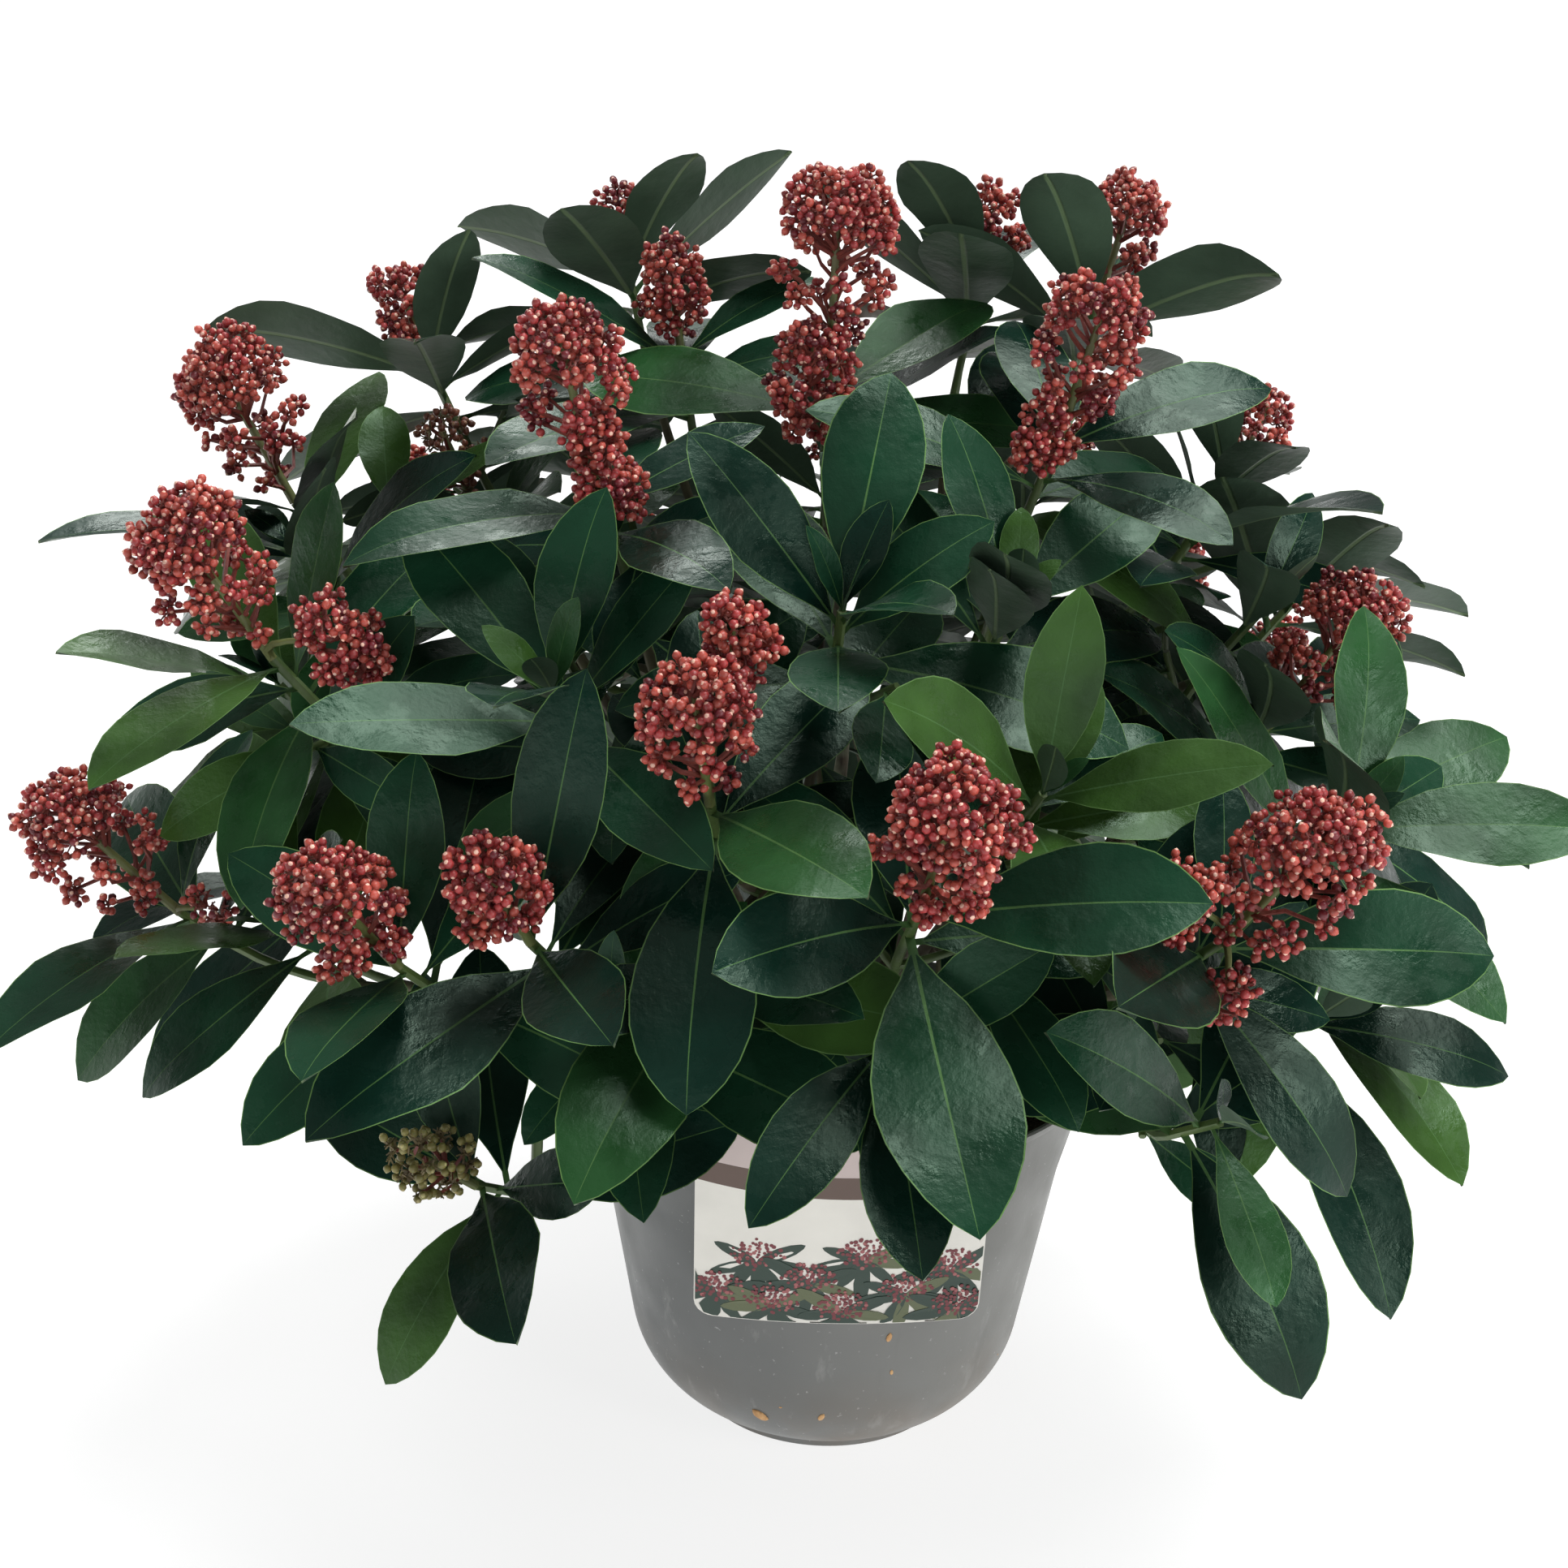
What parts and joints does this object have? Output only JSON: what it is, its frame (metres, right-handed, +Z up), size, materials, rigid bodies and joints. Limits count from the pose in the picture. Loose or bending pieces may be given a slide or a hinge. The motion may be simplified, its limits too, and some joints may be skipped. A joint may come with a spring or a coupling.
{
  "type": "potted skimmia shrub",
  "caption": "Rounded evergreen shrub with whorled glossy leaves and domed heads of red buds, growing in a round plastic pot with a hooked label card.",
  "frame": {"origin": "centre of the flat underside of the pot", "axes": "+Z up; -Y is the side that faces the viewer and carries the label card"},
  "size_m": [0.636, 0.5898, 0.5552],
  "materials": {
    "pot": "grey moulded nursery pot, satin, scuffed and dusty",
    "compost": "dark fibrous potting compost",
    "card": "printed plastic card with a brown band and a plain plant motif",
    "bark": "grey-brown bark on old wood, green on young wood",
    "foliage": "leathery glossy dark green leaves with paler edges, coral-red buds"
  },
  "bodies": {
    "root": {"pot": "pot", "compost": "compost", "label_card": "card", "trunk": "bark", "bough_top": "bark", "bough_top_left": "bark", "bough_top_right": "bark", "bough_left_shoulder": "bark", "bough_right_shoulder": "bark", "bough_left_back": "bark", "bough_right_back": "bark", "bough_left": "bark", "bough_left_low": "bark", "bough_front_left": "bark", "bough_front_centre": "bark", "bough_front": "bark", "bough_front_right": "bark", "bough_right": "bark", "bough_back_right": "bark", "bough_back": "bark", "bough_back_left": "bark", "foliage_top": "foliage", "foliage_top_left": "foliage", "foliage_top_right": "foliage", "foliage_left_shoulder": "foliage", "foliage_right_shoulder": "foliage", "foliage_left_back": "foliage", "foliage_right_back": "foliage", "foliage_left": "foliage", "foliage_left_low": "foliage", "foliage_front_left": "foliage", "foliage_front_centre": "foliage", "foliage_front": "foliage", "foliage_front_right": "foliage", "foliage_right": "foliage", "foliage_back_right": "foliage", "foliage_back": "foliage", "foliage_back_left": "foliage"}
  },
  "joints": []
}
